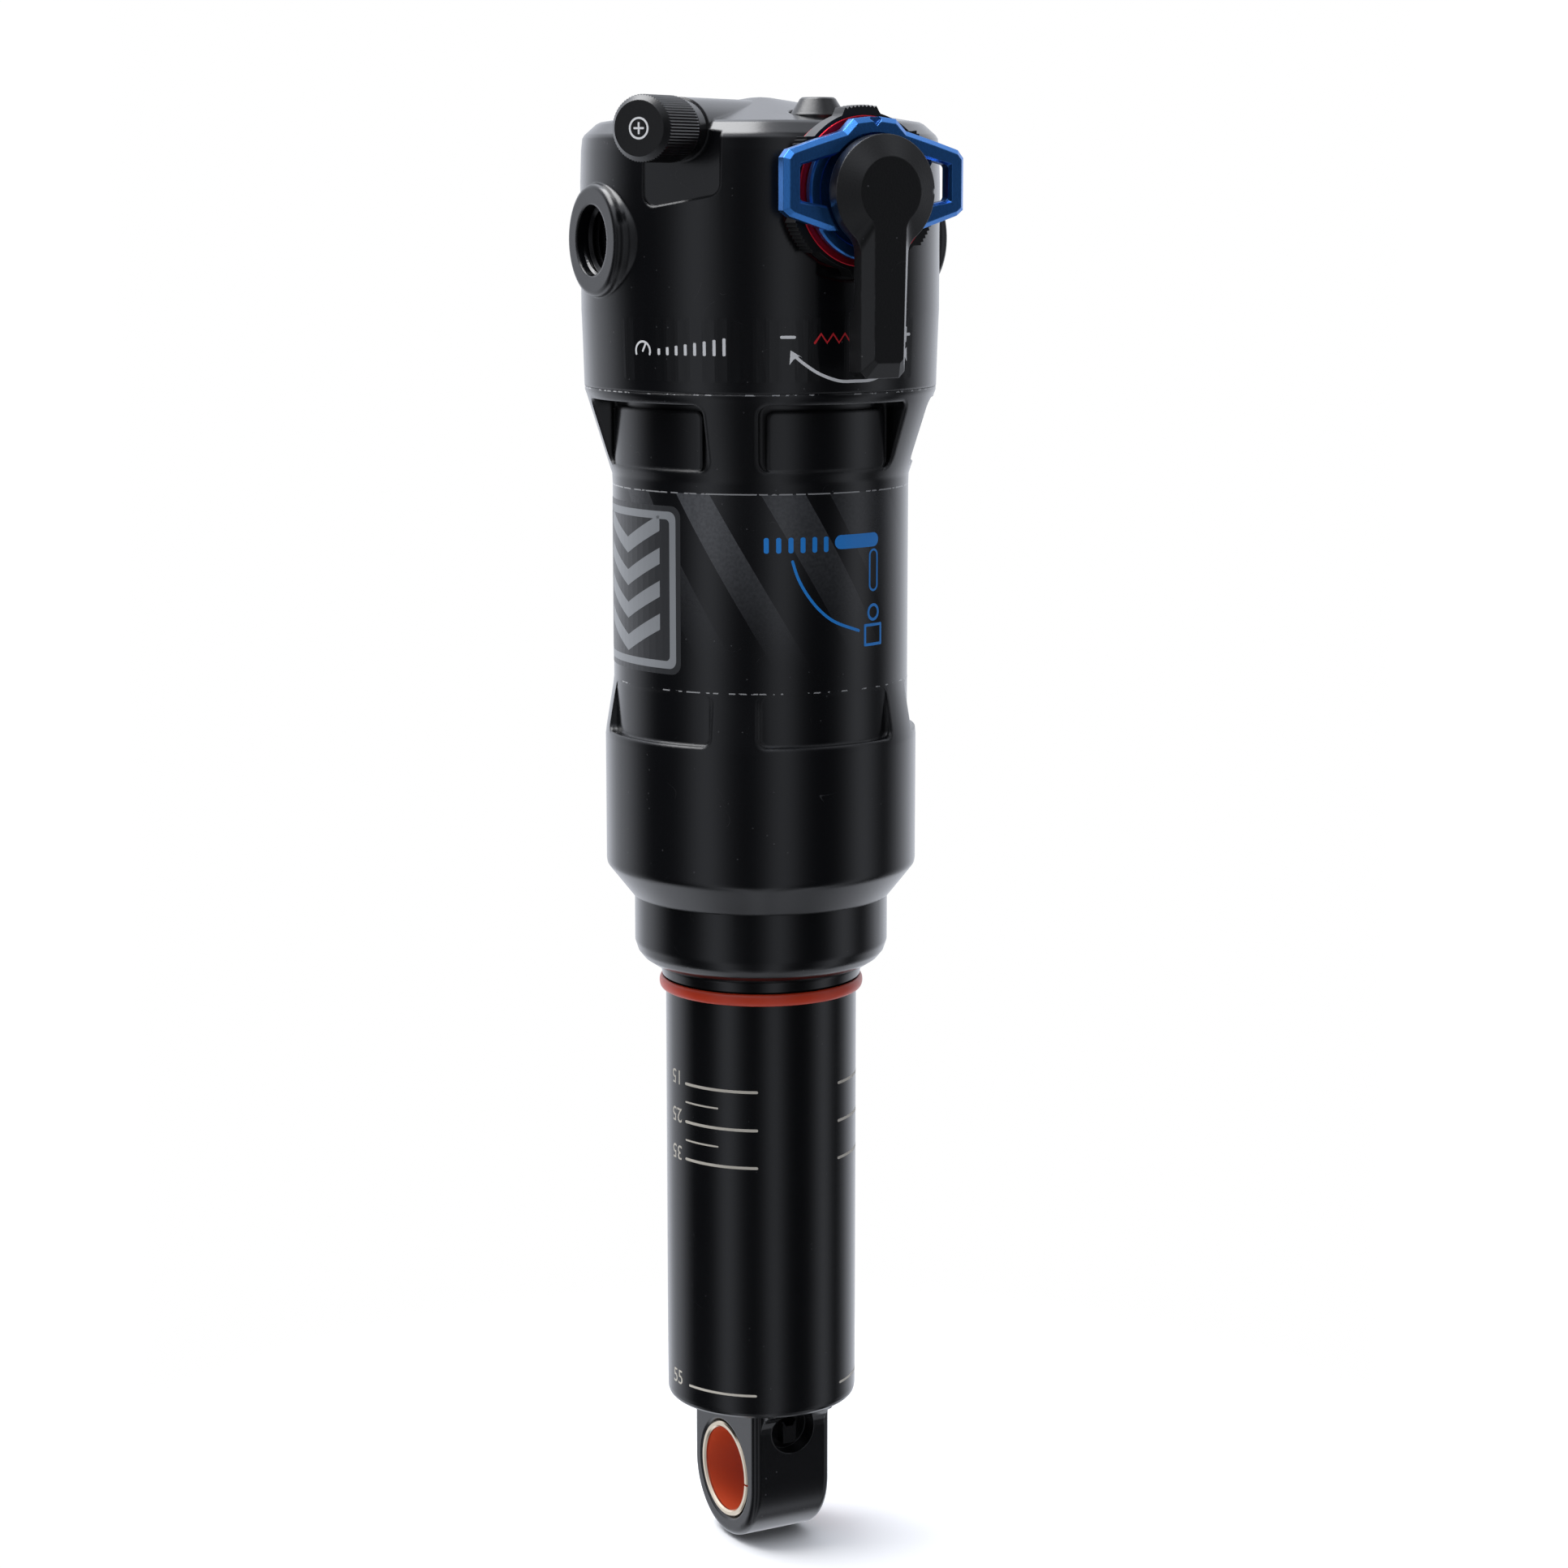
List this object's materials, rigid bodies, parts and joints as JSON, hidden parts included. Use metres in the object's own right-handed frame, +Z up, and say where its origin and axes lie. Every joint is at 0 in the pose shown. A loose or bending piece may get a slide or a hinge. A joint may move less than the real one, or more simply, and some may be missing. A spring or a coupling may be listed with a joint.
{
  "type": "rear shock",
  "caption": "Trunnion-mount air rear shock: black air can and head over a sliding damper body, with an eye, rebound and compression dials, a mode lever and an air valve.",
  "frame": {"origin": "centre of the lower eye's bore", "axes": "+Z up the shock's axis to the head; X along the eye's bore and the trunnion bolts; the adjusters face -Y"},
  "size_m": [0.0588, 0.0632, 0.2153],
  "materials": {
    "head_black": "black anodised, satin",
    "can_black": "black anodised, satin",
    "stanchion_black": "hard anodised, fine gloss",
    "eyelet_black": "black anodised",
    "lever_black": "black anodised, fine blast",
    "bush_nickel": "nickel plated",
    "liner_red": "low-friction polymer",
    "seal_black": "glossy rubber",
    "ring_orange": "silicone",
    "red_anodised": "red anodised",
    "blue_anodised": "blue anodised, bead blasted",
    "grip_black": "moulded",
    "cap_black": "black anodised, knurled",
    "steel": "ground",
    "chrome_shaft": "hard chrome",
    "spring_steel": "rolled strip",
    "bare_aluminium": "machined",
    "brass": "machined",
    "glide_polymer": "filled fluoropolymer",
    "bumper_polymer": "polyurethane"
  },
  "bodies": {
    "head_and_can": {"trunnion_head": "head_black", "inner_air_can": "can_black", "outer_air_can": "can_black", "sleeve_o_rings": "seal_black", "wiper_seal": "seal_black", "can_air_seal": "seal_black", "can_guide_bush": "glide_polymer", "bleed_plug": "lever_black", "valve_stem": "steel", "valve_core": "brass", "adjuster_housing": "lever_black", "damper_shaft": "chrome_shaft", "main_piston": "steel", "piston_glide_band": "glide_polymer", "compression_shims": "spring_steel", "rebound_shims": "spring_steel", "piston_nut": "steel", "top_out_bumper": "bumper_polymer", "bottom_out_bumper": "bumper_polymer"},
    "damper_body": {"stanchion": "stanchion_black", "eyelet": "eyelet_black", "eye_bush": "bush_nickel", "eye_bush_liner": "liner_red", "gas_fill_screw": "steel", "air_piston": "bare_aluminium", "air_piston_seal": "seal_black", "air_piston_glide_ring": "glide_polymer", "shaft_bush": "glide_polymer", "shaft_seal": "seal_black"},
    "gas_piston": {"floating_piston": "bare_aluminium", "floating_piston_seal": "seal_black"},
    "travel_ring": {"sag_ring": "ring_orange"},
    "rebound_dial": {"rebound_core": "red_anodised", "rebound_grip": "grip_black", "rebound_spindle": "steel"},
    "rebound_tappet": {"rebound_rod": "bare_aluminium"},
    "compression_adjuster": {"compression_dial": "blue_anodised", "compression_spindle": "steel"},
    "mode_lever": {"pedal_lever": "lever_black", "lever_spindle": "steel", "lever_set_screw": "steel"},
    "compression_tappet": {"compression_rod": "bare_aluminium"},
    "dust_cap": {"valve_cap": "cap_black"}
  },
  "joints": [
    {"name": "shock_stroke", "type": "slide", "parent": "head_and_can", "child": "damper_body", "axis": [0, 0, 1], "range_m": [0, 0.055], "stiffness_N_per_m": 12000},
    {"name": "gas_piston_travel", "type": "slide", "parent": "damper_body", "child": "gas_piston", "axis": [0, 0, -1], "range_m": [0, 0.0068]},
    {"name": "travel_ring_slide", "type": "slide", "parent": "damper_body", "child": "travel_ring", "axis": [0, 0, -1], "range_m": [0, 0.055]},
    {"name": "rebound_turn", "type": "hinge", "parent": "head_and_can", "child": "rebound_dial", "pos_m": [0, -0.03, 0.1918], "axis": [0, 1, 0], "range_deg": [-135, 135]},
    {"name": "rebound_tappet_slide", "type": "slide", "parent": "head_and_can", "child": "rebound_tappet", "axis": [0, 0, -1], "range_m": [-0.0005, 0.0005]},
    {"name": "compression_turn", "type": "hinge", "parent": "head_and_can", "child": "compression_adjuster", "pos_m": [0, -0.03, 0.1918], "axis": [0, 1, 0], "range_deg": [-45, 45]},
    {"name": "lever_turn", "type": "hinge", "parent": "head_and_can", "child": "mode_lever", "pos_m": [0, -0.03, 0.1918], "axis": [0, 1, 0], "range_deg": [0, 90]},
    {"name": "compression_tappet_slide", "type": "slide", "parent": "head_and_can", "child": "compression_tappet", "axis": [0, 0, -1], "range_m": [0, 0.001]},
    {"name": "dust_cap_pull", "type": "slide", "parent": "head_and_can", "child": "dust_cap", "axis": [-0.8192, -0.5736, 0], "range_m": [0, 0.015]}
  ],
  "couplings": [
    {"joint": "gas_piston_travel", "follows": "shock_stroke", "ratio": 0.12169},
    {"joint": "travel_ring_slide", "follows": "shock_stroke", "ratio": 1},
    {"joint": "rebound_tappet_slide", "follows": "rebound_turn", "m_per_rad": 0.00021221},
    {"joint": "compression_tappet_slide", "follows": "lever_turn", "m_per_rad": 0.00063662}
  ]
}
